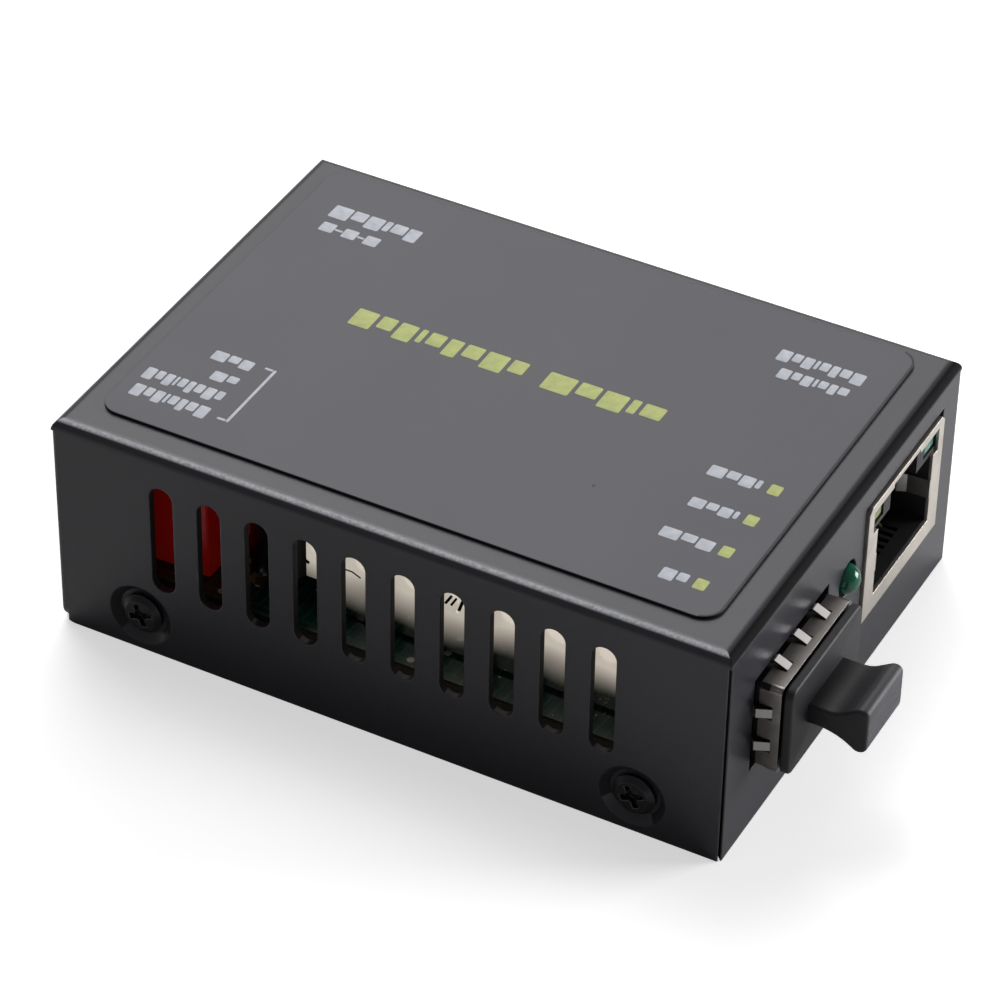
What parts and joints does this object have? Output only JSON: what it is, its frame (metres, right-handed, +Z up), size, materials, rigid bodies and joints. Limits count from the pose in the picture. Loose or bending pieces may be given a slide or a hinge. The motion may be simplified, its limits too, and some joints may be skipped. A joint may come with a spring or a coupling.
{
  "type": "fibre media converter",
  "caption": "Small folded-steel media converter: board with a copper network jack, a plugged fibre module bay, power socket, option switches and status lamp.",
  "frame": {"origin": "middle of the flat underside of the base plate", "axes": "+X towards the end with the two network ports, +Y towards the side with the copper jack, +Z up through the printed label"},
  "size_m": [0.0795, 0.0502, 0.0243],
  "materials": {
    "case_paint": "satin powder coat",
    "label_print": "matt printed film",
    "screw_steel": "zinc-plated",
    "screw_black": "black oxide",
    "base_steel": "satin powder coat",
    "board_green": "solder mask",
    "chip_black": "moulded",
    "lead_tin": "tinned",
    "can_steel": "satin",
    "coil_grey": "moulded ferrite",
    "sleeve_black": "shrink sleeve",
    "sleeve_dark": "shrink sleeve",
    "part_ceramic": "matt",
    "shield_nickel": "nickel-plated",
    "housing_black": "moulded",
    "contact_gold": "gold-plated",
    "lamp_yellow": "tinted",
    "lamp_green": "tinted",
    "cage_steel": "tinned sheet",
    "collar_steel": "bright spring sheet",
    "plug_rubber": "moulded",
    "status_green": "tinted lens",
    "socket_black": "moulded",
    "pin_nickel": "nickel-plated",
    "switch_red": "moulded",
    "lever_white": "moulded"
  },
  "bodies": {
    "case": {"top_cover": "case_paint", "base_plate": "base_steel", "face_label": "label_print", "cover_screws": "screw_black", "board_screws": "screw_steel", "standoffs": "screw_steel", "circuit_board": "board_green", "converter_chip": "chip_black", "converter_chip_leads": "lead_tin", "settings_memory": "chip_black", "crystal_can": "can_steel", "voltage_regulator": "chip_black", "power_inductor": "coil_grey", "filter_capacitor": "sleeve_black", "input_capacitor": "sleeve_dark", "chip_parts": "part_ceramic", "rj45_shield": "shield_nickel", "rj45_ground_springs": "shield_nickel", "rj45_housing": "housing_black", "rj45_contacts": "contact_gold", "rj45_lamp_yellow": "lamp_yellow", "rj45_lamp_green": "lamp_green", "sfp_cage_cover": "cage_steel", "sfp_cage_tray": "cage_steel", "sfp_spring_collar": "collar_steel", "sfp_connector": "housing_black", "sfp_connector_contacts": "contact_gold", "status_lamp": "status_green", "status_lamp_leads": "lead_tin", "power_socket": "socket_black", "power_socket_pin": "pin_nickel", "power_socket_lugs": "lead_tin", "switch_block": "switch_red", "switch_block_pins": "lead_tin"},
    "plug": {"dust_plug": "plug_rubber"},
    "lever_1": {"option_lever_1": "lever_white"},
    "lever_2": {"option_lever_2": "lever_white"},
    "lever_3": {"option_lever_3": "lever_white"},
    "lever_4": {"option_lever_4": "lever_white"}
  },
  "joints": [
    {"name": "dust_plug_slide", "type": "slide", "parent": "case", "child": "plug", "axis": [1, 0, 0], "range_m": [0, 0.016]},
    {"name": "option_lever_1_rock", "type": "hinge", "parent": "case", "child": "lever_1", "pos_m": [-0.0293, -0.01876, 0.0124], "axis": [0, -1, 0], "range_deg": [0, 16]},
    {"name": "option_lever_2_rock", "type": "hinge", "parent": "case", "child": "lever_2", "pos_m": [-0.0293, -0.01622, 0.0124], "axis": [0, -1, 0], "range_deg": [0, 16]},
    {"name": "option_lever_3_rock", "type": "hinge", "parent": "case", "child": "lever_3", "pos_m": [-0.0293, -0.01368, 0.0124], "axis": [0, -1, 0], "range_deg": [0, 16]},
    {"name": "option_lever_4_rock", "type": "hinge", "parent": "case", "child": "lever_4", "pos_m": [-0.0293, -0.01114, 0.0124], "axis": [0, -1, 0], "range_deg": [0, 16]}
  ]
}
